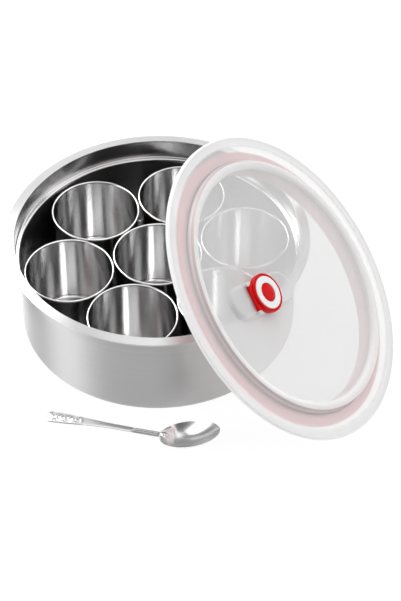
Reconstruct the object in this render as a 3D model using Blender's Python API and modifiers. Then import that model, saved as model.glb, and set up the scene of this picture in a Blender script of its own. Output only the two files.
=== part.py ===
"""Masala dabba: a round steel spice box with seven cups, a spoon and a vented plastic lid.

The box stands on z = 0 with its axis on +Z. The lid leans on the box's rim, with its lower
edge on the table, and the spoon lies on the table in front. All sizes are in metres.
"""
import math

import bmesh
import bpy
from mathutils import Matrix, Vector

# --- Fits -----------------------------------------------------------------------------
SEAT_GAP = 0.0003            # between pieces that rest on or in each other
CUP_GAP = 0.0006             # between the lips of neighbouring cups
CUP_WALL_GAP = 0.0012        # between the ring of cups and the box's wall
SKIRT_CLEARANCE = 0.0017     # between the box's rim and the lid's skirt
SEAL_CLEARANCE = 0.0004      # between the gasket's lip and the box's upper band

# --- Cups -----------------------------------------------------------------------------
CUPS_AROUND = 6              # with one more in the centre
CUP_RADIUS = 0.0335          # outside of the rolled lip
CUP_HEIGHT = 0.0589
CUP_SHEET = 0.0005
CUP_LIP = 0.0009             # radius of the rolled lip's section
CUP_CORNER = 0.0040          # outside radius where the wall meets the floor
CUP_TURN = math.radians(15.1)  # where the first outer cup stands, from +X

# --- Box ------------------------------------------------------------------------------
BOX_SHEET = 0.0006
BOX_HEIGHT = 0.0790
BOX_CORNER = 0.0030          # outside radius where the wall meets the floor
LEDGE_WIDTH = 0.0035         # how far the upper band steps out from the wall
LEDGE_DEPTH = 0.0160         # from the rim down to the ledge
LEDGE_BEND = 0.0013          # radius of the ledge's two bends
RIM_WIDTH = 0.0066           # the flat rim, from the band outwards
RIM_DROP = 0.0010            # how far the rim falls towards its edge
RIM_BEND = 0.0010

# --- Lid ------------------------------------------------------------------------------
LID_WALL = 0.0013            # skirt and flange
PANEL_THICKNESS = 0.0016
PANEL_DEPTH = 0.0029         # from the ridge's top down to the panel's face
FLANGE_DEPTH = 0.0041        # from the ridge's top down to the flange's face
SKIRT_DEPTH = 0.0070         # from the ridge's top down to the skirt's lower edge
RIDGE_INSET = 0.0065         # ridge line, inwards from the gasket's body
RIDGE_WIDTH = 0.0071         # ridge line to the panel's edge
RIDGE_SLOPE = 0.0019         # ridge line to the flange's face
RIB_INSET = 0.0007           # ridge line to the rib's inner side
RIB_THICKNESS = 0.0016       # the rib that holds the gasket
RIB_DEPTH = 0.0122
GASKET_WIDTH = 0.0133
GASKET_LIP_REACH = 0.0036
GASKET_LIP_DEPTH = 0.0040    # from the gasket's top down to the lip's root
GASKET_TOP = 0.0070          # depths below the ridge's top
GASKET_BOTTOM = 0.0150

# --- How the lid leans ----------------------------------------------------------------
LEAN_AZIMUTH = math.radians(-15.9)  # the side that the lid's face looks to
LID_TILT = math.radians(46.2)        # the lid's plane against the table
LID_SIDE_SHIFT = -0.0326             # along its own level line
LEAN_STEP = 0.0001                   # how finely the lid is moved out to clear the gasket

# --- Steam vent -----------------------------------------------------------------------
VENT_OFFSET = 0.0341         # from the lid's centre
VENT_BEARING = math.radians(148.5)   # in the lid's plane, from its level line
PLATEAU_RISE = 0.0030        # above the panel's face
PLATEAU_TOP_WIDTH = 0.0210
PLATEAU_TOP_LENGTH = 0.0680
PLATEAU_SLOPE = 0.0026       # how far its foot spreads past its top
DISC_RADIUS = 0.0145
DISC_THICKNESS = 0.0044
INLAY_RADIUS = 0.0122        # the white ring
INLAY_DEPTH = 0.0012
BUTTON_RADIUS = 0.0068
BUTTON_DOME = 0.0006
STEM_RADIUS = 0.0013
PLUG_RADIUS = 0.0034
PLUG_TIP_RADIUS = 0.0024
PLUG_LENGTH = 0.0058
STEAM_HOLE_RADIUS = 0.0046
TAB_WIDTH = 0.0190
TAB_THICKNESS = 0.0030
EAR_THICKNESS = 0.0020
EAR_GAP = 0.0004
EAR_RADIUS = 0.0020
PIN_RADIUS = 0.0008
PIN_OFFSET = 0.0146          # from the vent's centre to the hinge

# --- Spoon ----------------------------------------------------------------------------
SPOON_LENGTH = 0.1290
SPOON_TIP_AT = (-0.0797, -0.1120)    # the handle's end on the table
SPOON_AIM = math.radians(-13.5)      # from the handle's end towards the bowl
SPOON_SHEET = 0.0014
BOWL_LENGTH = 0.0440
BOWL_WIDTH = 0.0262
BOWL_DEPTH = 0.0094
BOWL_RAISE = 0.0150          # how much higher the bowl's tip is than its heel
HANDLE_END_WIDTH = 0.0108
HANDLE_NECK_WIDTH = 0.0048
HANDLE_HEIGHT = 0.0034       # of the handle's upper face over the table, at the neck

# --- How finely round pieces are faceted -----------------------------------------------
BIG_STEPS = 48
CUP_STEPS = 24
SMALL_STEPS = 32

# --- Sizes that follow ------------------------------------------------------------------
CUP_PITCH = 2 * CUP_RADIUS + CUP_GAP
WALL_INNER = CUP_PITCH + CUP_RADIUS + CUP_WALL_GAP
BAND_INNER = WALL_INNER + LEDGE_WIDTH
RIM_RADIUS = BAND_INNER + BOX_SHEET + RIM_WIDTH
SKIRT_INNER = RIM_RADIUS + SKIRT_CLEARANCE
SKIRT_RADIUS = SKIRT_INNER + LID_WALL
GASKET_LIP_RADIUS = BAND_INNER - SEAL_CLEARANCE
GASKET_OUTER = GASKET_LIP_RADIUS - GASKET_LIP_REACH
GASKET_INNER = GASKET_OUTER - GASKET_WIDTH
RIDGE_RADIUS = GASKET_OUTER - RIDGE_INSET
RIB_INNER = RIDGE_RADIUS + RIB_INSET
RIB_OUTER = RIB_INNER + RIB_THICKNESS
PANEL_RADIUS = RIDGE_RADIUS - RIDGE_WIDTH
PANEL_UNDERSIDE = PANEL_DEPTH + PANEL_THICKNESS
PLATEAU_TOP = PLATEAU_RISE - PANEL_DEPTH
PIN_HEIGHT = PLATEAU_TOP + SEAT_GAP + TAB_THICKNESS / 2
PIN_HOLE_RADIUS = PIN_RADIUS + SEAT_GAP


def clear_scene():
    """Remove every object that is in the scene."""
    for thing in list(bpy.data.objects):
        bpy.data.objects.remove(thing, do_unlink=True)


def new_collection(name):
    """A collection linked into the scene."""
    made = bpy.data.collections.new(name)
    bpy.context.scene.collection.children.link(made)
    return made


def material(name, colour, roughness, metallic=0.0, alpha=1.0):
    """A Principled material."""
    made = bpy.data.materials.new(name)
    made.use_nodes = True
    shader = made.node_tree.nodes["Principled BSDF"]
    shader.inputs["Base Color"].default_value = (*colour, 1.0)
    shader.inputs["Roughness"].default_value = roughness
    shader.inputs["Metallic"].default_value = metallic
    shader.inputs["Alpha"].default_value = alpha
    made.diffuse_color = (*colour, alpha)
    return made


clear_scene()
PARTS = new_collection("masala_dabba")
CUTTERS = new_collection("cutters")
STEEL = material("satin_steel", (0.60, 0.60, 0.61), 0.28, metallic=1.0)
CUP_STEEL = material("brushed_steel", (0.66, 0.66, 0.67), 0.24, metallic=1.0)
SPOON_STEEL = material("polished_steel", (0.74, 0.74, 0.75), 0.10, metallic=1.0)
FROSTED = material("frosted_plastic", (0.92, 0.92, 0.93), 0.35, alpha=0.40)
SILICONE = material("pink_silicone", (0.80, 0.34, 0.36), 0.45)
RED = material("red_plastic", (0.72, 0.01, 0.02), 0.30)
WHITE = material("white_plastic", (0.90, 0.90, 0.90), 0.30)


def empty(name, matrix, parent=None):
    """A frame that pieces hang from, placed in its parent's frame."""
    made = bpy.data.objects.new(name, None)
    PARTS.objects.link(made)
    made.parent = parent
    made.matrix_local = matrix
    return made


def place(name, mesh, finish, parent=None, location=(0.0, 0.0, 0.0)):
    """An object for a mesh: a part if it has a finish, else a cutter."""
    made = bpy.data.objects.new(name, mesh)
    if finish is None:
        CUTTERS.objects.link(made)
        made.hide_render = True
        made.display_type = "WIRE"
    else:
        PARTS.objects.link(made)
        mesh.materials.append(finish)
    made.parent = parent
    made.location = location
    return made


def arc(centre, radius, start, end, steps):
    """Points on an arc in the (radius, height) plane, both ends included; angles in degrees."""
    angles = [math.radians(start + (end - start) * k / steps) for k in range(steps + 1)]
    return [(centre[0] + radius * math.cos(a), centre[1] + radius * math.sin(a)) for a in angles]


def profile_mesh(name, profile, closed):
    """A chain of edges through (radius, height) points, for a Screw modifier."""
    count = len(profile)
    edges = [(k, k + 1) for k in range(count - 1)]
    if closed:
        edges.append((count - 1, 0))
    mesh = bpy.data.meshes.new(name)
    mesh.from_pydata([(r, 0.0, h) for r, h in profile], edges, [])
    return mesh


def turned(name, profile, steps, finish, parent=None, closed=False, mesh=None):
    """A profile turned about Z; it runs outwards on top, down the outside and back in."""
    made = place(name, mesh or profile_mesh(name, profile, closed), finish, parent)
    screw = made.modifiers.new("turn", "SCREW")
    screw.axis = "Z"
    screw.angle = math.tau
    screw.steps = steps
    screw.render_steps = steps
    screw.use_merge_vertices = True
    screw.merge_threshold = 0.00001
    screw.use_smooth_shade = True
    return made


def join(target, other):
    """Unite another shape with a part."""
    step = target.modifiers.new(other.name, "BOOLEAN")
    step.operation = "UNION"
    step.solver = "EXACT"
    step.object = other


def cut(target, other):
    """Cut another shape out of a part."""
    step = target.modifiers.new(other.name, "BOOLEAN")
    step.operation = "DIFFERENCE"
    step.solver = "EXACT"
    step.object = other


def cylinder(name, radius, length, parent, location, along_y=False):
    """A cutter cylinder about its own centre, along Z or along Y."""
    shape = bmesh.new()
    turn = Matrix.Rotation(math.radians(90.0), 4, "X") if along_y else Matrix.Identity(4)
    bmesh.ops.create_cone(shape, cap_ends=True, segments=SMALL_STEPS, radius1=radius,
                          radius2=radius, depth=length, matrix=turn)
    mesh = bpy.data.meshes.new(name)
    shape.to_mesh(mesh)
    shape.free()
    return place(name, mesh, None, parent, location)


def block(name, low, high, parent):
    """A cutter block between two corners."""
    size = Vector(high) - Vector(low)
    shape = bmesh.new()
    bmesh.ops.create_cube(shape, size=1.0, matrix=Matrix.Diagonal((*size, 1.0)))
    mesh = bpy.data.meshes.new(name)
    shape.to_mesh(mesh)
    shape.free()
    return place(name, mesh, None, parent, (Vector(low) + Vector(high)) / 2)


def stadium(length, width, height, steps=10):
    """The outline of a strip with round ends, at one height."""
    radius = width / 2
    reach = length / 2 - radius
    right = [(x + reach, y, height) for x, y in arc((0.0, 0.0), radius, -90.0, 90.0, steps)]
    left = [(x - reach, y, height) for x, y in arc((0.0, 0.0), radius, 90.0, 270.0, steps)]
    return right + left


def frustum(name, lower, upper, parent):
    """A cutter lofted between two outlines with as many points."""
    count = len(lower)
    sides = [(k, (k + 1) % count, count + (k + 1) % count, count + k) for k in range(count)]
    caps = [tuple(range(count - 1, -1, -1)), tuple(range(count, 2 * count))]
    mesh = bpy.data.meshes.new(name)
    mesh.from_pydata(lower + upper, [], sides + caps)
    return place(name, mesh, None, parent)


def shell_profile(inner, outer):
    """A closed vessel section: along the inner face and back down the outer face."""
    return inner + outer[::-1]


# --- Box --------------------------------------------------------------------------------
def box_face(offset):
    """One face of the box's sheet, from the axis out to the rim's edge.

    offset is 0 on the inner face and the sheet's thickness on the outer face. Each bend keeps
    one centre, so the sheet has one thickness all the way.
    """
    floor = BOX_SHEET - offset
    wall = WALL_INNER + offset
    band = BAND_INNER + offset
    ledge = BOX_HEIGHT - LEDGE_DEPTH - offset
    corner_centre = (WALL_INNER + BOX_SHEET - BOX_CORNER, BOX_CORNER)
    corner = arc(corner_centre, BOX_CORNER - BOX_SHEET + offset, -90.0, 0.0, 3)
    lower_bend = LEDGE_BEND - offset
    upper_bend = LEDGE_BEND - BOX_SHEET + offset
    step_out = arc((wall + lower_bend, ledge - lower_bend), lower_bend, 180.0, 90.0, 2)
    step_up = arc((band - upper_bend, ledge + upper_bend), upper_bend, -90.0, 0.0, 2)
    rim_bend = RIM_BEND - offset
    top = BOX_HEIGHT - offset
    over = arc((band + rim_bend, top - rim_bend), rim_bend, 180.0, 90.0, 2)
    edge = [(RIM_RADIUS, top - RIM_DROP)]
    return [(0.0, floor)] + corner + step_out + step_up + over + edge


def make_box():
    """The drawn steel box: floor, wall, ledge, upper band and flat rim."""
    turned("box_shell", shell_profile(box_face(0.0), box_face(BOX_SHEET)), BIG_STEPS, STEEL)


# --- Cups -------------------------------------------------------------------------------
def cup_profile():
    """The section of a straight-sided cup with a lip rolled outwards."""
    wall = CUP_RADIUS - 2 * CUP_LIP + CUP_SHEET
    centre = (wall - CUP_CORNER, CUP_CORNER)
    inside = arc(centre, CUP_CORNER - CUP_SHEET, -90.0, 0.0, 2)
    outside = arc(centre, CUP_CORNER, 0.0, -90.0, 2)
    lip = arc((CUP_RADIUS - CUP_LIP, CUP_HEIGHT - CUP_LIP), CUP_LIP, 180.0, -40.0, 5)
    under_lip = [(wall, CUP_HEIGHT - 2 * CUP_LIP)]
    return [(0.0, CUP_SHEET)] + inside + lip + under_lip + outside + [(0.0, 0.0)]


def cup_places():
    """The cups' names and centres: one in the middle and the rest round it."""
    places = {"cup_centre": (0.0, 0.0)}
    for k in range(CUPS_AROUND):
        angle = CUP_TURN + math.tau * k / CUPS_AROUND
        places[f"cup_{k + 1}"] = (CUP_PITCH * math.cos(angle), CUP_PITCH * math.sin(angle))
    return places


def make_cups():
    """The seven cups, which share one section."""
    mesh = profile_mesh("cup", cup_profile(), closed=False)
    for name, (x, y) in cup_places().items():
        cup = turned(name, None, CUP_STEPS, CUP_STEEL, mesh=mesh.copy())
        cup.location = (x, y, BOX_SHEET + SEAT_GAP)


# --- Lid --------------------------------------------------------------------------------
def lean_axes():
    """The leaning lid's level line, uphill line and outward normal."""
    up = Vector((0.0, 0.0, 1.0))
    outward = Vector((math.cos(LEAN_AZIMUTH), math.sin(LEAN_AZIMUTH), 0.0))
    normal = outward * math.sin(LID_TILT) + up * math.cos(LID_TILT)
    level = up.cross(outward)
    return level, normal.cross(level), normal, outward


def gasket_meets_box(frame):
    """Whether the box's rim or wall reaches into the gasket of a lid that stands in this frame."""
    to_lid = frame.inverted()
    wall = BAND_INNER + BOX_SHEET
    edges = [(RIM_RADIUS, BOX_HEIGHT - RIM_DROP), ((RIM_RADIUS + wall) / 2, BOX_HEIGHT - RIM_DROP / 2),
             (wall, BOX_HEIGHT), (wall, BOX_HEIGHT - LEDGE_DEPTH / 2), (wall, BOX_HEIGHT - LEDGE_DEPTH)]
    body = (GASKET_INNER, GASKET_OUTER, -GASKET_BOTTOM, -GASKET_TOP)
    lip = (GASKET_OUTER, GASKET_LIP_RADIUS, -GASKET_TOP - GASKET_LIP_DEPTH, -GASKET_TOP)
    for k in range(360):
        angle = math.tau * k / 360
        for radius, height in edges:
            spot = to_lid @ Vector((radius * math.cos(angle), radius * math.sin(angle), height))
            aside = math.hypot(spot.x, spot.y)
            for inner, outer, low, high in (body, lip):
                beside = inner - SEAT_GAP < aside < outer + SEAT_GAP
                if beside and low - SEAT_GAP < spot.z < high + SEAT_GAP:
                    return True
    return False


def lean_matrix():
    """Where the lid stands: skirt on the table and panel on the rim's edge.

    The centre's height follows from the skirt's lowest point. Its distance from the box
    follows from the rim's edge touching the panel's underside. Where the gasket would meet
    the box first, the lid stands that much further out.
    """
    level, uphill, normal, outward = lean_axes()
    height = SKIRT_DEPTH * normal.z + SKIRT_RADIUS * uphill.z + SEAT_GAP
    touch = outward * RIM_RADIUS + Vector((0.0, 0.0, BOX_HEIGHT - RIM_DROP))
    below = normal.dot(touch) - normal.z * height + PANEL_UNDERSIDE + SEAT_GAP
    reach = below / normal.dot(outward)
    centre = outward * reach + level * LID_SIDE_SHIFT + Vector((0.0, 0.0, height))
    axes = Matrix((level, uphill, normal)).transposed()
    frame = Matrix.Translation(centre) @ axes.to_4x4()
    while gasket_meets_box(frame):
        frame = Matrix.Translation(outward * LEAN_STEP) @ frame
    return frame


def lid_profile():
    """The lid's section: panel, round ridge, flat flange, skirt and the gasket's rib."""
    under_flange = -FLANGE_DEPTH - LID_WALL
    ridge_inner = PANEL_RADIUS + 0.35 * RIDGE_WIDTH
    top = [(0.0, -PANEL_DEPTH), (PANEL_RADIUS, -PANEL_DEPTH), (ridge_inner, -0.0008),
           (RIDGE_RADIUS - 0.35 * RIDGE_WIDTH, 0.0), (RIDGE_RADIUS, -0.0001),
           (RIDGE_RADIUS + RIDGE_SLOPE, -FLANGE_DEPTH), (SKIRT_RADIUS - 0.0014, -FLANGE_DEPTH),
           (SKIRT_RADIUS - 0.0004, -FLANGE_DEPTH - 0.0005), (SKIRT_RADIUS, -FLANGE_DEPTH - 0.0016)]
    skirt = [(SKIRT_RADIUS, -SKIRT_DEPTH), (SKIRT_INNER, -SKIRT_DEPTH),
             (SKIRT_INNER, under_flange)]
    rib = [(RIB_OUTER, under_flange), (RIB_OUTER, -RIB_DEPTH), (RIB_INNER, -RIB_DEPTH),
           (RIB_INNER, under_flange)]
    under = [(RIDGE_RADIUS - LID_WALL, -LID_WALL - 0.0004), (ridge_inner + LID_WALL, -LID_WALL - 0.0006),
             (PANEL_RADIUS + LID_WALL, -PANEL_UNDERSIDE), (0.0, -PANEL_UNDERSIDE)]
    return top + skirt + rib + under


def gasket_profile():
    """The gasket's section: a block with a slot for the rib and a thin sealing lip."""
    slot_inner = RIB_INNER - SEAT_GAP
    slot_outer = RIB_OUTER + SEAT_GAP
    slot_floor = -RIB_DEPTH - SEAT_GAP
    round_off = 0.0009
    lip_top = -GASKET_TOP - 0.0016
    top = [(GASKET_INNER, -GASKET_TOP), (slot_inner, -GASKET_TOP), (slot_inner, slot_floor),
           (slot_outer, slot_floor), (slot_outer, -GASKET_TOP), (GASKET_OUTER, -GASKET_TOP)]
    lip = [(GASKET_OUTER, lip_top - 0.0006), (GASKET_LIP_RADIUS, lip_top),
           (GASKET_LIP_RADIUS, lip_top - 0.0010), (GASKET_OUTER, -GASKET_TOP - GASKET_LIP_DEPTH)]
    foot = [(GASKET_OUTER, -GASKET_BOTTOM + round_off), (GASKET_OUTER - round_off, -GASKET_BOTTOM),
            (GASKET_INNER + round_off, -GASKET_BOTTOM), (GASKET_INNER, -GASKET_BOTTOM + round_off)]
    return top + lip + foot


def make_lid(lid_frame, vent_frame):
    """The lid with its plateau, steam hole and hinge ears, and the gasket under it."""
    lid = turned("lid_shell", lid_profile(), BIG_STEPS, FROSTED, lid_frame)
    foot = PLATEAU_SLOPE * 2
    inset = PANEL_THICKNESS * 2
    join(lid, frustum("plateau", stadium(PLATEAU_TOP_LENGTH + foot, PLATEAU_TOP_WIDTH + foot,
                                         -PLATEAU_RISE - PANEL_THICKNESS / 2),
                      stadium(PLATEAU_TOP_LENGTH, PLATEAU_TOP_WIDTH, 0.0), vent_frame))
    hollow_foot = stadium(PLATEAU_TOP_LENGTH + foot - inset, PLATEAU_TOP_WIDTH + foot - inset,
                          -PLATEAU_RISE - 2 * PANEL_THICKNESS)
    hollow_top = stadium(PLATEAU_TOP_LENGTH - inset, PLATEAU_TOP_WIDTH - inset, -PANEL_THICKNESS)
    cut(lid, frustum("plateau_hollow", hollow_foot, hollow_top, vent_frame))
    cut(lid, cylinder("steam_hole", STEAM_HOLE_RADIUS, 0.02, vent_frame, (0.0, 0.0, 0.0)))
    ear_foot = -PANEL_THICKNESS / 2
    pin_height = PIN_HEIGHT - PLATEAU_TOP
    for side, sign in (("left", 1), ("right", -1)):
        inner = sign * (TAB_WIDTH / 2 + EAR_GAP)
        outer = inner + sign * EAR_THICKNESS
        low = (PIN_OFFSET - EAR_RADIUS, min(inner, outer), ear_foot)
        high = (PIN_OFFSET + EAR_RADIUS, max(inner, outer), pin_height)
        join(lid, block(f"ear_{side}_foot", low, high, vent_frame))
        join(lid, cylinder(f"ear_{side}_eye", EAR_RADIUS, EAR_THICKNESS, vent_frame,
                           (PIN_OFFSET, (inner + outer) / 2, pin_height), along_y=True))
    cut(lid, cylinder("ear_bore", PIN_HOLE_RADIUS, 2 * TAB_WIDTH, vent_frame,
                      (PIN_OFFSET, 0.0, pin_height), along_y=True))
    turned("lid_gasket", gasket_profile(), BIG_STEPS, SILICONE, lid_frame, closed=True)


# --- Steam vent ---------------------------------------------------------------------------
def make_pin(vent_frame):
    """The hinge pin, from the outside of one ear to the outside of the other."""
    length = TAB_WIDTH + 2 * EAR_GAP + 2 * EAR_THICKNESS - SEAT_GAP
    curve = bpy.data.curves.new("vent_hinge_pin", "CURVE")
    curve.dimensions = "3D"
    curve.bevel_depth = PIN_RADIUS
    curve.bevel_resolution = 2
    curve.use_fill_caps = True
    line = curve.splines.new("POLY")
    line.points.add(1)
    line.points[0].co = (PIN_OFFSET, -length / 2, PIN_HEIGHT - PLATEAU_TOP, 1.0)
    line.points[1].co = (PIN_OFFSET, length / 2, PIN_HEIGHT - PLATEAU_TOP, 1.0)
    place("vent_hinge_pin", curve, STEEL, vent_frame)


def make_flap(hinge):
    """The flap that swings on the pin: disc and tab, white ring, button and plug."""
    under = SEAT_GAP - (PIN_HEIGHT - PLATEAU_TOP)
    top = under + DISC_THICKNESS
    recess = top - INLAY_DEPTH
    recess_radius = INLAY_RADIUS + SEAT_GAP
    centre = empty("vent_disc_centre", Matrix.Translation((-PIN_OFFSET, 0.0, 0.0)), hinge)
    stem_hole = STEM_RADIUS + SEAT_GAP
    bevel = 0.0006
    disc = [(stem_hole, recess), (recess_radius, recess), (recess_radius, top),
            (DISC_RADIUS - bevel, top), (DISC_RADIUS, top - bevel), (DISC_RADIUS, under),
            (stem_hole, under)]
    flap = turned("vent_flap", disc, SMALL_STEPS, RED, centre, closed=True)
    tab_low = -TAB_THICKNESS / 2
    join(flap, block("tab", (-0.6 * PIN_OFFSET, -TAB_WIDTH / 2, tab_low),
                     (0.0, TAB_WIDTH / 2, -tab_low), hinge))
    join(flap, cylinder("tab_end", TAB_THICKNESS / 2, TAB_WIDTH, hinge, (0.0, 0.0, 0.0), along_y=True))
    cut(flap, cylinder("tab_bore", PIN_HOLE_RADIUS, 2 * TAB_WIDTH, hinge, (0.0, 0.0, 0.0), along_y=True))
    seat = recess + SEAT_GAP
    ring_inner = BUTTON_RADIUS + SEAT_GAP
    ring_top = seat + INLAY_DEPTH
    ring = [(ring_inner, ring_top), (INLAY_RADIUS, ring_top), (INLAY_RADIUS, seat), (ring_inner, seat)]
    turned("vent_ring", ring, SMALL_STEPS, WHITE, centre, closed=True)
    stem_end = under - PLUG_LENGTH / 2
    button = [(0.0, ring_top + BUTTON_DOME), (0.6 * BUTTON_RADIUS, ring_top + 0.7 * BUTTON_DOME),
              (BUTTON_RADIUS, ring_top - BUTTON_DOME / 2), (BUTTON_RADIUS, seat),
              (STEM_RADIUS, seat), (STEM_RADIUS, stem_end), (0.0, stem_end)]
    turned("vent_button", button, SMALL_STEPS, RED, centre)
    plug_top = under - SEAT_GAP
    plug = [(0.0, stem_end - SEAT_GAP), (stem_hole, stem_end - SEAT_GAP), (stem_hole, plug_top),
            (PLUG_RADIUS, plug_top), (PLUG_TIP_RADIUS, plug_top - PLUG_LENGTH),
            (0.0, plug_top - PLUG_LENGTH)]
    turned("vent_plug", plug, SMALL_STEPS, SILICONE, centre)


# --- Spoon ---------------------------------------------------------------------------------
def ease(value):
    """0 below 0, 1 above 1 and a smooth rise between."""
    clipped = min(max(value, 0.0), 1.0)
    return clipped * clipped * (3.0 - 2.0 * clipped)


def spoon_section(s):
    """Half width, edge height and hollow of the spoon at a distance s from the handle's end."""
    heel = SPOON_LENGTH - BOWL_LENGTH
    inside = (s - heel) / BOWL_LENGTH
    taper = ease(s / (0.62 * heel))
    handle = (HANDLE_END_WIDTH + (HANDLE_NECK_WIDTH - HANDLE_END_WIDTH) * taper) / 2
    oval = 2 * max(inside, 0.0) ** 0.94 - 1 if inside > 0 else -1.0
    bowl = BOWL_WIDTH / 2 * math.sqrt(max(1.0 - oval * oval, 0.0))
    half_width = math.hypot(bowl, handle * (1.0 - ease(3.0 * inside)))
    edge = HANDLE_HEIGHT * (0.6 + 0.4 * ease(s / (0.5 * heel))) + BOWL_RAISE * max(inside, 0.0) ** 1.15
    hollow = BOWL_DEPTH * max(1.0 - abs(oval) ** 2.2, 0.0) * ease(4.0 * inside) - 0.0004
    return half_width, edge, hollow


def make_spoon():
    """The spoon: one curved sheet, thickened downwards, lying on the table."""
    rows = 46
    across = 8
    shape = bmesh.new()
    grid = []
    for i in range(rows + 1):
        share = math.sin(0.5 * math.pi * i / rows) ** 1.15
        s = SPOON_LENGTH * (0.004 + 0.996 * share)
        half_width, edge, hollow = spoon_section(s)
        half_width = max(half_width, 0.0006)
        row = []
        for j in range(across + 1):
            t = 2.0 * j / across - 1.0
            row.append(shape.verts.new((s, half_width * t, edge - hollow * (1.0 - t * t))))
        grid.append(row)
    for lower, upper in zip(grid, grid[1:]):
        for j in range(across):
            shape.faces.new((lower[j], upper[j], upper[j + 1], lower[j + 1]))
    lowest = min(vertex.co.z for vertex in shape.verts)
    mesh = bpy.data.meshes.new("spoon")
    shape.to_mesh(mesh)
    shape.free()
    mesh.shade_smooth()
    spoon = place("spoon", mesh, SPOON_STEEL)
    spoon.location = (*SPOON_TIP_AT, SPOON_SHEET + 0.0001 - lowest)
    spoon.rotation_euler = (0.0, 0.0, SPOON_AIM)
    wall = spoon.modifiers.new("sheet", "SOLIDIFY")
    wall.thickness = SPOON_SHEET
    wall.offset = -1.0
    wall.use_even_offset = False


def main():
    """Build every piece."""
    make_box()
    make_cups()
    lid_frame = empty("lid_frame", lean_matrix())
    spot = Matrix.Rotation(VENT_BEARING, 4, "Z") @ Matrix.Translation((VENT_OFFSET, 0.0, PLATEAU_TOP))
    vent_frame = empty("vent_frame", spot, lid_frame)
    hinge_spot = Matrix.Translation((PIN_OFFSET, 0.0, PIN_HEIGHT - PLATEAU_TOP))
    hinge = empty("vent_hinge", hinge_spot, vent_frame)
    make_lid(lid_frame, vent_frame)
    make_pin(vent_frame)
    make_flap(hinge)
    make_spoon()


main()
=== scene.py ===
"""Masala dabba: the looks of a round steel spice box with cups, a spoon and a frosted lid.

Every piece is a surface computed on a grid: profiles turned about an axis, and sections swept
along the spoon. All sizes are in metres; the box stands on z = 0 with its axis on +Z.
"""
import math

import bpy
import numpy as np
from mathutils import Matrix, Vector


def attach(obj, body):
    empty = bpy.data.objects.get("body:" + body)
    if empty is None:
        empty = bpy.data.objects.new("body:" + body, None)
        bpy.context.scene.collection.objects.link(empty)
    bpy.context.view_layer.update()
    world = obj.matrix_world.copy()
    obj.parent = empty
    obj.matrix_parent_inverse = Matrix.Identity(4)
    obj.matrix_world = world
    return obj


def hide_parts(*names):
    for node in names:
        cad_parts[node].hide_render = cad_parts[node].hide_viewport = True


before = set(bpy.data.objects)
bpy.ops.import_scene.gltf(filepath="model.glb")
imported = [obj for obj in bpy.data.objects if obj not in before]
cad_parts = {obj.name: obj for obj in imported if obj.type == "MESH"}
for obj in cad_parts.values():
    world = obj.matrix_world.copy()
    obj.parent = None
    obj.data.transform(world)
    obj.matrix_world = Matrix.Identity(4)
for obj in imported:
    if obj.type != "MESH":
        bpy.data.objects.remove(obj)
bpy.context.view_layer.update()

# --- Sizes ------------------------------------------------------------------------------
CUP_RADIUS = 0.0335
CUP_HEIGHT = 0.0589
CUP_PITCH = 0.0676
CUP_TURN = math.radians(15.1)
CUP_FLOOR = 0.0009           # how high the cups stand
BOX_HEIGHT = 0.0790
WALL_INNER = 0.1023
BAND_INNER = 0.1058
RIM_RADIUS = 0.1130
BOX_SHEET = 0.0006
SKIRT_RADIUS = 0.1160
RIDGE_RADIUS = 0.0953
PANEL_RADIUS = 0.0882
GASKET_INNER = 0.0885
GASKET_OUTER = 0.1018
GASKET_LIP = 0.1054
PANEL_DEPTH = 0.0029
PANEL_THICKNESS = 0.0016
PLATEAU_TOP = 0.0001
DISC_RADIUS = 0.0145
INLAY_RADIUS = 0.0122
BUTTON_RADIUS = 0.0068
TAB_WIDTH = 0.0190
PIN_OFFSET = 0.0146
PIN_HEIGHT = 0.0018          # of the hinge pin over the plateau's top
FLANGE_DEPTH = 0.0041        # below the ridge's crown
FLANGE_THICKNESS = 0.0013
SKIRT_DEPTH = 0.0070
RIB_DEPTH = 0.0122           # of the rib that holds the gasket
RIB_INNER = 0.0960
RIB_OUTER = 0.0976
GASKET_TOP = 0.0070
GASKET_BOTTOM = 0.0150
STEAM_HOLE_RADIUS = 0.0046
STRIP_REACH = 0.0235         # half the straight length of the vent's strip
STRIP_HALF_WIDTH = 0.0105
STRIP_SLOPE = 0.0026         # width of the strip's soft edge
SPOON_LENGTH = 0.1290
BOWL_LENGTH = 0.0440
BOWL_HALF_WIDTH = 0.0131
HANDLE_END_WIDTH = 0.0108
HANDLE_NECK_WIDTH = 0.0048
LEAF_PITCH = 0.0075          # of the embossed leaves along the handle
VEIN_PITCH = 0.0031

# --- Places -----------------------------------------------------------------------------
LID_CENTRE = (0.096117, -0.061277, 0.088869)
LEAN_AZIMUTH = math.radians(-15.9)
LEAN_TILT = math.radians(46.2)
VENT_BEARING = math.radians(148.5)
VENT_OFFSET = 0.0341         # of the steam hole from the lid's middle
SPOON_PLACE = (-0.0797, -0.1120, 0.0)
SPOON_TURN = math.radians(-13.5)
TABLE_GAP = 0.00012          # between the spoon and the table
LIGHT_TARGET = Vector((0.0, 0.0, 0.05))


def lean_frame():
    """The leaning lid's frame: X is its level line, Y uphill and Z out of its face."""
    up = Vector((0.0, 0.0, 1.0))
    outward = Vector((math.cos(LEAN_AZIMUTH), math.sin(LEAN_AZIMUTH), 0.0))
    normal = outward * math.sin(LEAN_TILT) + up * math.cos(LEAN_TILT)
    level = up.cross(outward)
    axes = Matrix((level, normal.cross(level), normal)).transposed()
    return Matrix.Translation(LID_CENTRE) @ axes.to_4x4()


LID = lean_frame()
VENT = LID @ Matrix.Rotation(VENT_BEARING, 4, "Z") @ Matrix.Translation((VENT_OFFSET, 0.0, PLATEAU_TOP))
SPOON = Matrix.Translation(SPOON_PLACE) @ Matrix.Rotation(SPOON_TURN, 4, "Z")


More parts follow.
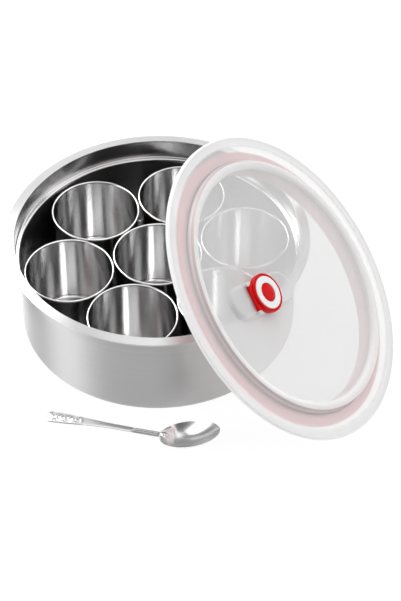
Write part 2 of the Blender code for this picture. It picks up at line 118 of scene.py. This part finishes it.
# --- Surfaces -----------------------------------------------------------------------------
def smooth(value):
    """0 below 0, 1 above 1, and a smooth rise between, for whole arrays."""
    clipped = np.clip(value, 0.0, 1.0)
    return clipped * clipped * (3.0 - 2.0 * clipped)


def fillet(corners, closed=False, step=0.0025, facets=6):
    """A line through corner points, each with its own round-off radius.

    A corner (a, b, radius) becomes an arc that touches both of its sides. Straight runs are cut
    into lengths no longer than step, and a short length is kept next to each arc.
    """
    points = np.array([c[:2] for c in corners], float)
    radii = np.array([c[2] if len(c) > 2 else 0.0 for c in corners], float)
    count = len(points)
    line = []
    for k in range(count):
        here = points[k]
        if radii[k] <= 0.0:
            line.append(here[None])
            continue
        back = points[k - 1] - here
        ahead = points[(k + 1) % count] - here
        back_length = np.linalg.norm(back)
        ahead_length = np.linalg.norm(ahead)
        back = back / back_length
        ahead = ahead / ahead_length
        half = 0.5 * math.acos(float(np.clip(back @ ahead, -1.0, 1.0)))
        reach = min(radii[k] / math.tan(half), 0.46 * back_length, 0.46 * ahead_length)
        radius = reach * math.tan(half)
        middle = here + (back + ahead) / np.linalg.norm(back + ahead) * radius / math.sin(half)
        first = here + back * reach - middle
        last = here + ahead * reach - middle
        share = np.linspace(0.0, 1.0, facets + 1)[:, None]
        swing = math.pi - 2.0 * half
        arc = (np.sin((1.0 - share) * swing) * first + np.sin(share * swing) * last) / math.sin(swing)
        line.append(middle + arc)
    if closed:
        line.append(line[0][:1])
    rough = np.concatenate(line)
    lengths = np.linalg.norm(np.diff(rough, axis=0), axis=1)
    whole = []
    for start, end, length in zip(rough, rough[1:], lengths):
        parts = max(1, math.ceil(length / step))
        share = np.linspace(0.0, 1.0, parts + 1)[:-1]
        if parts > 1:
            tight = min(0.12 * step / length, 0.3)
            share = np.unique(np.concatenate([share, [tight, 1.0 - tight]]))
        whole.append(start + (end - start) * share[:, None])
    if not closed:
        whole.append(rough[-1:])
    return np.concatenate(whole)


def make_mesh(name, points, faces, marks, matrix=None):
    """An object from points, a list of face arrays (3 or 4 wide) and two numbers per corner."""
    if matrix is not None:
        turn = np.array(matrix, float)
        points = points @ turn[:3, :3].T + turn[:3, 3]
    mesh = bpy.data.meshes.new(name)
    mesh.from_pydata(points, [], [list(f) for part in faces for f in part.tolist()])
    mesh.uv_layers.new(name="place").data.foreach_set("uv", np.concatenate(marks).astype(np.float32).ravel())
    mesh.shade_smooth()
    mesh.validate()
    made = bpy.data.objects.new(name, mesh)
    bpy.context.scene.collection.objects.link(made)
    return made


def skin(name, grid, closed_across=False, matrix=None, marks=None):
    """The surface through a grid of points whose columns close into rings.

    grid is rows by columns by 3. A row whose points all meet becomes a pole: one point with
    triangles round it. closed_across also joins the last row to the first. The marks kept on
    the corners are the share of the turn and the row's own number.
    """
    rows, columns = grid.shape[:2]
    spread = np.abs(grid - grid[:, :1]).max(axis=(1, 2))
    sizes = np.where(spread < 1e-9, 1, columns)
    starts = np.concatenate([[0], np.cumsum(sizes)[:-1]])
    points = np.concatenate([grid[k, :sizes[k]] for k in range(rows)])
    row_mark = np.arange(rows) / rows if marks is None else marks
    turn = np.arange(columns)
    after = (turn + 1) % columns
    low = turn / columns
    high = (turn + 1) / columns
    faces = []
    corners = []
    pairs = [(k, k + 1) for k in range(rows - 1)] + ([(rows - 1, 0)] if closed_across else [])
    for a, b in pairs:
        here = np.full(columns, row_mark[a])
        there = np.full(columns, row_mark[b])
        if sizes[a] == 1 and sizes[b] == 1:
            continue
        if sizes[a] == 1:
            faces.append(np.stack([np.full(columns, starts[a]), starts[b] + turn, starts[b] + after], 1))
            corners.append(np.stack([np.stack([(low + high) / 2, here], 1), np.stack([low, there], 1),
                                     np.stack([high, there], 1)], 1).reshape(-1, 2))
        elif sizes[b] == 1:
            faces.append(np.stack([starts[a] + turn, np.full(columns, starts[b]), starts[a] + after], 1))
            corners.append(np.stack([np.stack([low, here], 1), np.stack([(low + high) / 2, there], 1),
                                     np.stack([high, here], 1)], 1).reshape(-1, 2))
        else:
            faces.append(np.stack([starts[a] + turn, starts[b] + turn,
                                   starts[b] + after, starts[a] + after], 1))
            corners.append(np.stack([np.stack([low, here], 1), np.stack([low, there], 1),
                                     np.stack([high, there], 1),
                                     np.stack([high, here], 1)], 1).reshape(-1, 2))
    return make_mesh(name, points, faces, corners, matrix)


def turned(name, profile, steps, closed=False, matrix=None, centre=(0.0, 0.0), marks=None):
    """A (radius, height) profile turned about an axis, outwards on top and back down outside.

    A point is (radius cos angle, radius sin angle, height). By default the row's mark is its
    radius, in decimetres.
    """
    angle = np.arange(steps) * math.tau / steps
    radius = profile[:, :1]
    height = np.broadcast_to(profile[:, 1:2], (len(profile), steps))
    grid = np.stack([radius * np.cos(angle) + centre[0], radius * np.sin(angle) + centre[1], height], 2)
    row_mark = profile[:, 0] * 10 if marks is None else marks
    return skin(name, grid, closed, matrix, row_mark)


# --- Materials ------------------------------------------------------------------------------
class Term:
    """A socket of a material's node tree that takes part in sums as a number does."""

    def __init__(self, paint, socket):
        self.paint = paint
        self.socket = socket

    def maths(self, operation, first, second=None):
        """One Math node."""
        inputs = {0: first} if second is None else {0: first, 1: second}
        return self.paint.node("ShaderNodeMath", {"operation": operation}, inputs)

    def __add__(self, other):
        return self.maths("ADD", self, other)

    def __sub__(self, other):
        return self.maths("SUBTRACT", self, other)

    def __rsub__(self, other):
        return self.maths("SUBTRACT", other, self)

    def __mul__(self, other):
        return self.maths("MULTIPLY", self, other)

    def __pow__(self, other):
        return self.maths("POWER", self, other)

    __radd__ = __add__
    __rmul__ = __mul__


class Paint:
    """A Principled material whose varying sockets are given as terms."""

    def __init__(self, name, **constants):
        self.material = bpy.data.materials.new(name)
        self.material.use_nodes = True
        self.tree = self.material.node_tree
        self.shader = self.tree.nodes["Principled BSDF"]
        for socket, value in constants.items():
            self.shader.inputs[socket.replace("_", " ")].default_value = value

    def node(self, kind, settings, inputs, output=0):
        """Any node: its type, then its settings, then its inputs."""
        made = self.tree.nodes.new(kind)
        for name, value in settings.items():
            setattr(made, name, value)
        for key, value in inputs.items():
            if isinstance(value, Term):
                self.tree.links.new(value.socket, made.inputs[key])
            else:
                made.inputs[key].default_value = value
        return Term(self, made.outputs[output])

    def set(self, socket, term):
        """Feeds one socket of the Principled shader."""
        self.tree.links.new(term.socket, self.shader.inputs[socket])

    def place(self):
        """The spot on the object, as one vector."""
        return self.node("ShaderNodeTexCoord", {}, {}, "Object")

    def apart(self, vector):
        """The three numbers of a vector."""
        outputs = self.node("ShaderNodeSeparateXYZ", {}, {0: vector}).socket.node.outputs
        return [Term(self, output) for output in outputs]

    def marks(self):
        """The share of the turn and the row's mark, from the surface's own map."""
        return self.apart(self.node("ShaderNodeUVMap", {"uv_map": "place"}, {}))[:2]

    def rise(self, value, low, high):
        """A smooth rise from 0 at low to 1 at high."""
        return self.node("ShaderNodeMapRange", {"interpolation_type": "SMOOTHSTEP"},
                         {"Value": value, "From Min": low, "From Max": high})

    def band(self, value, low, high, edge):
        """1 between low and high, with soft edges."""
        return self.rise(value, low - edge, low + edge) * (1.0 - self.rise(value, high - edge, high + edge))

    def mix(self, share, first, second):
        """One colour turning into another."""
        return self.node("ShaderNodeMix", {"data_type": "RGBA"}, {0: share, 6: first, 7: second}, 2)

    def grey(self, tone):
        """The grey that looks as light as its tone, from 0 for black to 1 for white."""
        light = tone ** 2.2
        return self.node("ShaderNodeCombineColor", {}, {0: light, 1: light, 2: light})

    def noise(self, vector, scale, detail=2.0):
        """Soft noise about one half."""
        return self.node("ShaderNodeTexNoise", {}, {"Vector": vector, "Scale": scale, "Detail": detail})

    def streaks(self, turn, across, fine, coarse):
        """Brushed streaks that run along one direction of the surface's own map."""
        vector = self.node("ShaderNodeCombineXYZ", {}, {0: turn * fine, 1: across * coarse, 2: 0.0})
        return self.noise(vector, 1.0)


def box_steel():
    """Spun steel with fine streaks round it: satin outside, smoother on the rim, glossy inside."""
    paint = Paint("satin_steel", Metallic=1.0, Anisotropic=0.9, Anisotropic_Rotation=0.25)
    turn, mark = paint.marks()
    height = paint.apart(paint.place())[2]
    round_it = paint.node("ShaderNodeCombineXYZ", {}, {0: turn * 5.0, 1: mark * 3.0, 2: height * 2600.0})
    streak = paint.noise(round_it, 1.0) - 0.5
    is_rim = paint.rise(mark, 2.999, 3.001)
    is_inside = paint.rise(mark, 0.999, 1.001) * (1.0 - is_rim)
    paint.set("Base Color", paint.grey(0.82 + 0.04 * streak))
    paint.set("Roughness", 0.52 - 0.34 * is_inside - 0.18 * is_rim + 0.05 * streak)
    return paint.material


def cup_steel():
    """Brushed steel, with fine upright streaks on the walls and a painted highlight that lightens the lip."""
    paint = Paint("brushed_steel", Metallic=1.0, Anisotropic=0.5, Anisotropic_Rotation=0.25)
    turn, mark = paint.marks()
    streak = paint.streaks(turn, mark, 420.0, 1.0) - 0.5
    # Painted highlight: the lip's base colour is made lighter.
    lip_highlight = paint.band(mark, 2.0, 2.9, 0.01)
    paint.set("Base Color", paint.grey(0.80 + 0.05 * streak + 0.10 * lip_highlight))
    paint.set("Roughness", 0.165 + 0.01 * streak)
    return paint.material


def spoon_steel():
    """Polished steel with a faint unevenness in its gloss."""
    paint = Paint("polished_steel", Metallic=1.0)
    cloud = paint.noise(paint.place(), 60.0)
    paint.set("Base Color", paint.grey(0.93 + 0.03 * cloud))
    paint.set("Roughness", 0.26 + 0.08 * cloud)
    return paint.material


def frosted():
    """Frosted plastic: whiter on the ridge, flange and skirt, clearer where the gasket lies against it.

    A thin dark line of painted shade follows the ridge's foot.
    """
    paint = Paint("frosted_plastic", Roughness=0.35, Specular_IOR_Level=0.25)
    mark = paint.marks()[1]
    cloud = paint.noise(paint.place(), 900.0)
    slope = paint.rise(mark, 0.876, 0.905)
    # Painted shade: a thin dark line along the ridge's foot, mixed into the base colour below.
    line = paint.band(mark, 0.953, 0.963, 0.003)
    over_gasket = paint.band(mark, 0.965, 1.085, 0.014)
    skirt = paint.rise(mark, 1.142, 1.150)
    alpha = 0.50 + 0.28 * slope - 0.44 * over_gasket + 0.20 * skirt
    paint.set("Alpha", alpha)
    tone = 0.965 + 0.03 * slope - 0.03 * cloud
    white = paint.grey(tone)
    paint.set("Base Color", paint.mix(0.55 * line, white, (0.45, 0.25, 0.25, 1.0)))
    return paint.material


def silicone():
    """Pink silicone."""
    paint = Paint("pink_silicone", Roughness=0.55, Specular_IOR_Level=0.2, Alpha=0.72)
    cloud = paint.noise(paint.place(), 70.0)
    paint.set("Base Color", paint.mix(cloud, (0.95, 0.50, 0.54, 1.0), (0.97, 0.56, 0.59, 1.0)))
    return paint.material


def plain_plastic(name, first, second):
    """Moulded plastic with a faint cloudiness."""
    paint = Paint(name, Roughness=0.35, Specular_IOR_Level=0.12)
    paint.set("Base Color", paint.mix(paint.noise(paint.place(), 160.0), first, second))
    return paint.material


STEEL = box_steel()
CUP_STEEL = cup_steel()
SPOON_STEEL = spoon_steel()
FROSTED = frosted()
SILICONE = silicone()
RED = plain_plastic("red_plastic", (0.72, 0.003, 0.004, 1.0), (0.62, 0.002, 0.005, 1.0))
WHITE = plain_plastic("white_plastic", (0.93, 0.93, 0.93, 1.0), (0.88, 0.88, 0.88, 1.0))


def fit_out(piece, paint, slot, body, *nodes):
    """Gives a piece its material and makes it ride on a body in place of CAD nodes; slot is not used."""
    piece.data.materials.append(paint)
    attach(piece, body)
    if nodes:
        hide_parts(*nodes)


# --- Box ------------------------------------------------------------------------------------
def parts_line(*parts):
    """Several lines end to end, with a mark for each point.

    Each part is (points, first mark); the mark grows by almost one over the part.
    """
    points = np.concatenate([p for p, base in parts])
    marks = np.concatenate([base + 0.99 * np.linspace(0.0, 1.0, len(p)) for p, base in parts])
    return points, marks


def make_box():
    """The drawn steel box: floor, wall, ledge, upper band and rim with a small rolled edge.

    Marks: 0 outside, 1 inside, 3 on top of the rim.
    """
    ledge = BOX_HEIGHT - 0.0160
    inside = fillet([(0.0, BOX_SHEET), (WALL_INNER, BOX_SHEET, 0.0024), (WALL_INNER, ledge, 0.0013),
                     (BAND_INNER, ledge, 0.0007), (BAND_INNER, BOX_HEIGHT - 0.0011)])
    rim = fillet([(BAND_INNER, BOX_HEIGHT - 0.0011), (BAND_INNER, BOX_HEIGHT, 0.0010),
                  (RIM_RADIUS, BOX_HEIGHT - 0.0010, 0.0003), (RIM_RADIUS, BOX_HEIGHT - 0.0016)], step=0.001)
    outside = fillet([(RIM_RADIUS, BOX_HEIGHT - 0.0016), (RIM_RADIUS - 0.0001, BOX_HEIGHT - 0.0022, 0.0003),
                      (RIM_RADIUS - 0.0012, BOX_HEIGHT - 0.0020, 0.0003),
                      (BAND_INNER + BOX_SHEET, BOX_HEIGHT - BOX_SHEET, 0.0006),
                      (BAND_INNER + BOX_SHEET, ledge - BOX_SHEET, 0.0013),
                      (WALL_INNER + BOX_SHEET, ledge - BOX_SHEET, 0.0007),
                      (WALL_INNER + BOX_SHEET, 0.0, 0.0030), (0.0, 0.0)])
    line, marks = parts_line((inside, 1.0), (rim[1:], 3.0), (outside[1:], 0.0))
    box = turned("box", line, 256, marks=marks)
    fit_out(box, STEEL, "satin_steel", "box", "box_shell")


def make_cup(name, centre):
    """One straight cup with a lip rolled outwards into a bead.

    Marks: 0 floor, 1 inner wall, 2 lip, 3 outside.
    """
    bead = 0.0009
    wall = CUP_RADIUS - 2 * bead + 0.0005
    base = CUP_FLOOR
    top = base + CUP_HEIGHT
    floor = fillet([(0.0, base + 0.0005), (wall - 0.0045, base + 0.0005)])
    inner = fillet([(wall - 0.0045, base + 0.0005), (wall - 0.0005, base + 0.0005, 0.0035),
                    (wall - 0.0005, top - bead)])
    angle = np.radians(np.linspace(180.0, -90.0, 19))
    lip = np.stack([CUP_RADIUS - bead + bead * np.cos(angle), top - bead + bead * np.sin(angle)], 1)
    outer = fillet([(wall + 0.0001, top - 2 * bead), (wall, top - 2.4 * bead, 0.0002), (wall, base, 0.0040),
                    (0.0, base)])
    line, marks = parts_line((floor, 0.0), (inner[1:], 1.0), (lip[1:], 2.0), (outer, 3.0))
    cup = turned(f"{name}_body", line, 128, centre=centre, marks=marks)
    fit_out(cup, CUP_STEEL, "brushed_steel", name, name)


def make_cups():
    """One cup in the middle and six round it."""
    make_cup("cup_centre", (0.0, 0.0))
    for k in range(6):
        angle = CUP_TURN + math.tau * k / 6
        make_cup(f"cup_{k + 1}", (CUP_PITCH * math.cos(angle), CUP_PITCH * math.sin(angle)))


# --- Lid --------------------------------------------------------------------------------------
def plateau(x, y):
    """1 on the vent's strip and 0 away from it, in the lid's plane.

    The distance to the strip's middle line, less its half width, goes through a smooth fall
    over the strip's slope.
    """
    along = x * math.cos(VENT_BEARING) + y * math.sin(VENT_BEARING) - VENT_OFFSET
    aside = y * math.cos(VENT_BEARING) - x * math.sin(VENT_BEARING)
    beyond = np.maximum(np.abs(along) - STRIP_REACH, 0.0)
    outward = np.hypot(beyond, aside) - STRIP_HALF_WIDTH
    return 1.0 - smooth(outward / STRIP_SLOPE)


def make_lid():
    """The lid: panel with the vent's strip and steam hole, ridge, flange, skirt and gasket rib.

    The panel's points lie on lines from the steam hole's edge to the panel's edge, so that the
    hole needs no cutting: point = (1 - share) * hole edge + share * panel edge, at the same turn.
    Its height is the panel's own plus the strip's rise. The rest is turned about the lid's axis.
    """
    columns = 320
    angle = np.arange(columns) * math.tau / columns
    hole = np.stack([VENT_OFFSET * math.cos(VENT_BEARING) + STEAM_HOLE_RADIUS * np.cos(angle),
                     VENT_OFFSET * math.sin(VENT_BEARING) + STEAM_HOLE_RADIUS * np.sin(angle)], 1)
    share = np.concatenate([np.linspace(0.0, 0.30, 46), np.linspace(0.30, 1.0, 40)[1:]])
    edge = np.stack([np.cos(angle), np.sin(angle)], 1)

    def panel(radius, height, rise):
        flat = (1.0 - share)[:, None, None] * hole + share[:, None, None] * edge * radius
        tall = height + rise * plateau(flat[..., 0], flat[..., 1])
        return np.concatenate([flat, tall[..., None]], 2)

    rise = PLATEAU_TOP + PANEL_DEPTH
    top = panel(PANEL_RADIUS - 0.0012, -PANEL_DEPTH, rise)
    under = panel(PANEL_RADIUS - 0.0004, -PANEL_DEPTH - PANEL_THICKNESS, rise)[::-1]
    flange_under = -FLANGE_DEPTH - FLANGE_THICKNESS
    profile = fillet([(PANEL_RADIUS - 0.0010, -PANEL_DEPTH), (PANEL_RADIUS, -PANEL_DEPTH, 0.0010),
                      (PANEL_RADIUS + 0.0028, -0.0006, 0.0014), (RIDGE_RADIUS - 0.0024, 0.0, 0.0016),
                      (RIDGE_RADIUS, -0.0002, 0.0006), (RIDGE_RADIUS + 0.0019, -FLANGE_DEPTH, 0.0006),
                      (SKIRT_RADIUS, -FLANGE_DEPTH, 0.0013), (SKIRT_RADIUS, -SKIRT_DEPTH, 0.0004),
                      (SKIRT_RADIUS - FLANGE_THICKNESS, -SKIRT_DEPTH, 0.0004),
                      (SKIRT_RADIUS - FLANGE_THICKNESS, flange_under, 0.0003),
                      (RIB_OUTER, flange_under, 0.0003), (RIB_OUTER, -RIB_DEPTH, 0.0004),
                      (RIB_INNER, -RIB_DEPTH, 0.0004), (RIB_INNER, flange_under, 0.0003),
                      (RIDGE_RADIUS - FLANGE_THICKNESS, -0.0017, 0.0006),
                      (PANEL_RADIUS + 0.0038, -0.0019, 0.0010),
                      (PANEL_RADIUS + 0.0013, -PANEL_DEPTH - PANEL_THICKNESS, 0.0010),
                      (PANEL_RADIUS, -PANEL_DEPTH - PANEL_THICKNESS)], step=0.002, facets=5)
    radius = profile[:, :1]
    tall = np.broadcast_to(profile[:, 1:2], (len(profile), columns))
    around = np.stack([radius * np.cos(angle), radius * np.sin(angle), tall], 2)
    marks = np.concatenate([0.8 * share, profile[:, 0] * 10, 0.8 * share[::-1]])
    lid = skin("lid", np.concatenate([top, around, under]), True, LID, marks)
    fit_out(lid, FROSTED, "frosted_plastic", "lid", "lid_shell")


def make_gasket():
    """The silicone ring under the lid: a soft block with a slot for the rib and a thin lip."""
    top = -GASKET_TOP
    bottom = -GASKET_BOTTOM
    section = fillet([(GASKET_INNER, top, 0.0006), (0.0957, top, 0.0003), (0.0957, -0.0125),
                      (0.0979, -0.0125), (0.0979, top, 0.0003), (GASKET_OUTER, top, 0.0005),
                      (GASKET_OUTER, -0.0092, 0.0003), (GASKET_LIP, -0.0086, 0.0003),
                      (GASKET_LIP, -0.0096, 0.0003), (GASKET_OUTER, -0.0110, 0.0008),
                      (GASKET_OUTER, bottom, 0.0012), (0.0965, bottom, 0.0006), (0.0951, -0.0143, 0.0008),
                      (0.0937, bottom, 0.0006), (GASKET_INNER, bottom, 0.0012)], closed=True)
    gasket = turned("gasket", section, 256, closed=True, matrix=LID)
    fit_out(gasket, SILICONE, "pink_silicone", "lid", "lid_gasket")


# --- Steam vent -------------------------------------------------------------------------------
def strip_block(name, outline, half_width, edge, matrix):
    """A rounded bar: one outline in the (x, z) plane, carried along y and drawn in at both ends.

    Each ring is the outline pulled towards its middle by the end's round-off.
    """
    loop = fillet(outline, closed=True, step=0.001)
    middle = loop.mean(axis=0)
    angle = np.radians(np.linspace(0.0, 90.0, 6))
    inset = edge * (1.0 - np.sin(angle))
    reach = half_width - edge * (1.0 - np.cos(angle))
    ends = np.concatenate([np.stack([-reach, inset], 1), np.stack([reach, inset], 1)[::-1]])
    away = loop - middle
    length = np.linalg.norm(away, axis=1, keepdims=True)
    still = np.broadcast_to(middle, loop.shape)

    def ring(points, at):
        return np.concatenate([points, np.full((len(loop), 1), at)], 1)

    rings = [ring(middle + away * (1.0 - pull / length), at) for at, pull in ends]
    grid = np.stack([ring(still, ends[0, 0]), *rings, ring(still, ends[-1, 0])])[:, :, [0, 2, 1]]
    return skin(name, grid, matrix=matrix)


def make_vent():
    """The flap with its white ring, button and plug, and the ears and pin that hold it."""
    hinge = VENT @ Matrix.Translation((PIN_OFFSET, 0.0, PIN_HEIGHT))
    centre = hinge @ Matrix.Translation((-PIN_OFFSET, 0.0, 0.0))
    under = 0.0003 - PIN_HEIGHT
    top = under + 0.0044
    seat = top - 0.0012
    disc = fillet([(0.0016, seat), (INLAY_RADIUS + 0.0003, seat, 0.0001),
                   (INLAY_RADIUS + 0.0003, top, 0.0003), (DISC_RADIUS, top, 0.0008),
                   (DISC_RADIUS, under, 0.0004), (0.0016, under)],
                  closed=True, step=0.001)
    flap = turned("vent_disc", disc, 128, closed=True, matrix=centre)
    fit_out(flap, RED, "red_plastic", "vent", "vent_flap")
    tab = strip_block("vent_tab", [(-0.0086, -0.0015, 0.0002), (0.0015, -0.0015, 0.0013),
                                   (0.0015, 0.0015, 0.0013), (-0.0086, 0.0015, 0.0002)],
                      TAB_WIDTH / 2, 0.0005, hinge)
    fit_out(tab, RED, "red_plastic", "vent")
    ring = fillet([(BUTTON_RADIUS + 0.0003, seat + 0.0003), (BUTTON_RADIUS + 0.0003, top + 0.0003, 0.0003),
                   (INLAY_RADIUS, top + 0.0003, 0.0004), (INLAY_RADIUS, seat + 0.0003, 0.0002)],
                  closed=True, step=0.001)
    fit_out(turned("vent_inlay", ring, 128, closed=True, matrix=centre), WHITE, "white_plastic", "vent",
            "vent_ring")
    button = fillet([(0.0, top + 0.0009), (0.0040, top + 0.0007, 0.004),
                     (BUTTON_RADIUS, top + 0.0001, 0.0005), (BUTTON_RADIUS, seat + 0.0003, 0.0002),
                     (0.0013, seat + 0.0003), (0.0013, under - 0.0029),
                     (0.0, under - 0.0029)], step=0.001)
    fit_out(turned("vent_knob", button, 96, matrix=centre), RED, "red_plastic", "vent", "vent_button")
    plug = fillet([(0.0, under - 0.0032), (0.0016, under - 0.0032), (0.0016, under - 0.0003),
                   (0.0034, under - 0.0003, 0.0004), (0.0024, under - 0.0061, 0.0006), (0.0, under - 0.0061)],
                  step=0.001)
    fit_out(turned("vent_stopper", plug, 64, matrix=centre), SILICONE, "pink_silicone", "vent", "vent_plug")
    for side, sign in (("left", 1.0), ("right", -1.0)):
        spot = hinge @ Matrix.Translation((0.0, sign * (TAB_WIDTH / 2 + 0.0014), 0.0))
        ear = strip_block(f"vent_ear_{side}", [(-0.0020, -0.0024, 0.0003), (0.0020, -0.0024, 0.0003),
                                               (0.0020, 0.0020, 0.0019), (-0.0020, 0.0020, 0.0019)],
                          0.0010, 0.0003, spot)
        fit_out(ear, FROSTED, "frosted_plastic", "lid")
    half = TAB_WIDTH / 2 + 0.0004 + 0.0020 - 0.00015
    pin = fillet([(0.0, half), (0.0008, half, 0.0002), (0.0008, -half, 0.0002), (0.0, -half)])
    along = hinge @ Matrix.Rotation(math.radians(90.0), 4, "X")
    fit_out(turned("vent_pin", pin, 32, matrix=along), SPOON_STEEL, "satin_steel", "lid", "vent_hinge_pin")


# --- Spoon ------------------------------------------------------------------------------------
def make_spoon():
    """The spoon: rings round its thin section, one for each distance s from the handle's end.

    The middle surface at (s, t) lies at height edge(s) - hollow(s) (1 - t * t), and t goes from
    one side to the other. The top carries the embossed leaves, two ribs and a tongue.
    """
    heel = SPOON_LENGTH - BOWL_LENGTH
    share = np.sin(0.5 * math.pi * np.linspace(0.0, 1.0, 260)) ** 1.05
    s = SPOON_LENGTH * (0.0016 + 0.9984 * share)
    inside = (s - heel) / BOWL_LENGTH
    taper = smooth(s / (0.62 * heel))
    widths = HANDLE_END_WIDTH + (HANDLE_NECK_WIDTH - HANDLE_END_WIDTH) * taper
    handle = widths / 2 * np.sqrt(np.clip(s / 0.0016, 0.0, 1.0)) ** 0.5
    oval = np.where(inside > 0, 2 * np.maximum(inside, 0.0) ** 0.94 - 1, -1.0)
    bowl = BOWL_HALF_WIDTH * np.sqrt(np.maximum(1.0 - oval * oval, 0.0))
    half = np.maximum(np.hypot(bowl, handle * (1.0 - smooth(3.0 * inside))), 0.0003)
    edge = 0.0034 * (0.6 + 0.4 * smooth(s / (0.5 * heel))) + 0.0150 * np.maximum(inside, 0.0) ** 1.15
    hollow = 0.0094 * np.maximum(1.0 - np.abs(oval) ** 2.2, 0.0) * smooth(4.0 * inside) - 0.0004
    columns = 96
    angle = np.arange(columns) * math.tau / columns
    t = np.cos(angle)
    over = np.sin(angle)
    thick = 0.00055 + 0.00015 * smooth(1.0 - 3.0 * np.abs(inside + 0.1))
    flat = np.sign(over) * np.abs(over) ** 0.45
    wide = half[:, None] * (np.sign(t) * np.abs(t) ** 0.9)
    middle = edge[:, None] - hollow[:, None] * (1.0 - t * t)
    leaves_zone = smooth(s / 0.002) * (1.0 - smooth((s - 0.025) / 0.004))
    across = wide / np.maximum(half, 1e-6)[:, None]
    wave = np.sin(s / LEAF_PITCH * math.tau)[:, None]
    vein = np.sin((s[:, None] - 0.9 * np.abs(wide)) / VEIN_PITCH * math.tau)
    leaves = (0.5 + 0.5 * vein) * np.exp(-((across - 0.35 * wave) / 0.55) ** 2)
    border = np.exp(-((np.abs(across) - 0.88) / 0.10) ** 2)
    relief = 0.0006 * leaves_zone[:, None] * (leaves + 0.5 * border)
    ribs_zone = smooth((s - heel + 0.022) / 0.006) * (1.0 - smooth((s - heel - 0.004) / 0.005))
    relief = relief + 0.0005 * ribs_zone[:, None] * np.cos(across * 1.5 * math.tau) * (np.abs(across) < 0.99)
    tongue = np.exp(-((s - heel - 0.003) / 0.0035) ** 2)[:, None] * np.exp(-(wide / 0.0022) ** 2)
    relief = relief + 0.0008 * tongue
    height = middle + np.where(over > 0, thick[:, None] * flat + relief * flat, thick[:, None] * flat)
    grid = np.stack([np.broadcast_to(s[:, None], wide.shape), wide, height], 2)
    first = np.broadcast_to(grid[:1].mean(axis=1, keepdims=True), grid[:1].shape)
    last = np.broadcast_to(grid[-1:].mean(axis=1, keepdims=True), grid[-1:].shape)
    grid = np.concatenate([first, grid, last])
    grid[..., 2] += TABLE_GAP - grid[..., 2].min()
    marks = np.concatenate([s[:1], s, s[-1:]]) / SPOON_LENGTH
    spoon = skin("spoon_body", grid[:, ::-1], matrix=SPOON, marks=marks)
    fit_out(spoon, SPOON_STEEL, "polished_steel", "spoon", "spoon")


# --- Studio -----------------------------------------------------------------------------------
def soft_light(name, place, size, power):
    """A large lamp aimed at the box."""
    lamp = bpy.data.lights.new(name, "AREA")
    lamp.shape = "RECTANGLE"
    lamp.size, lamp.size_y = size
    lamp.energy = power
    made = bpy.data.objects.new(name, lamp)
    made.location = place
    made.rotation_euler = (LIGHT_TARGET - Vector(place)).to_track_quat("-Z", "Y").to_euler()
    bpy.context.scene.collection.objects.link(made)


def make_studio():
    """A plain white floor, dim even surroundings and five soft boxes.

    The boxes stand at the left, right, back and back left, and hang overhead.
    """
    mesh = bpy.data.meshes.new("floor")
    reach = 6.0
    mesh.from_pydata([(-reach, -reach, 0.0), (reach, -reach, 0.0), (reach, reach, 0.0), (-reach, reach, 0.0)],
                     [], [(0, 1, 2, 3)])
    floor = bpy.data.objects.new("floor", mesh)
    bpy.context.scene.collection.objects.link(floor)
    paint = Paint("white_floor", Roughness=0.9)
    paint.set("Base Color", paint.grey(0.42 + 0.01 * paint.noise(paint.place(), 3.0)))
    paint.shader.inputs["Emission Color"].default_value = (1.0, 1.0, 1.0, 1.0)
    paint.shader.inputs["Emission Strength"].default_value = 0.90
    mesh.materials.append(paint.material)
    world = bpy.data.worlds.new("studio")
    world.use_nodes = True
    world.node_tree.nodes["Background"].inputs[0].default_value = (1.0, 1.0, 1.0, 1.0)
    world.node_tree.nodes["Background"].inputs[1].default_value = 0.08
    bpy.context.scene.world = world
    soft_light("left_box", (-2.1, -0.80, 1.1), (1.3, 1.7), 22.0)
    soft_light("right_box", (2.2, 0.2, 1.3), (2.6, 2.2), 22.0)
    soft_light("back_box", (0.3, 2.0, 2.0), (1.7, 1.0), 16.0)
    soft_light("back_left_box", (-1.2, 1.64, 2.0), (0.85, 1.2), 34.0)
    soft_light("overhead_box", (0.5, -0.3, 2.4), (3.2, 3.2), 37.0)


def make_camera():
    """The camera, 45 degrees above the table and straight in front."""
    lens = bpy.data.cameras.new("camera")
    lens.lens = 132.34
    lens.sensor_width = 36.0
    lens.clip_start = 0.01
    made = bpy.data.objects.new("camera", lens)
    made.location = (0.03193, -1.19075, 1.19688)
    aim = Vector((0.03193, 0.01031, 0.0)) - Vector(made.location)
    made.rotation_euler = aim.to_track_quat("-Z", "Y").to_euler()
    bpy.context.scene.collection.objects.link(made)
    bpy.context.scene.camera = made


make_box()
make_cups()
make_lid()
make_gasket()
make_vent()
make_spoon()
make_studio()
make_camera()
bpy.context.scene.view_settings.view_transform = "Standard"
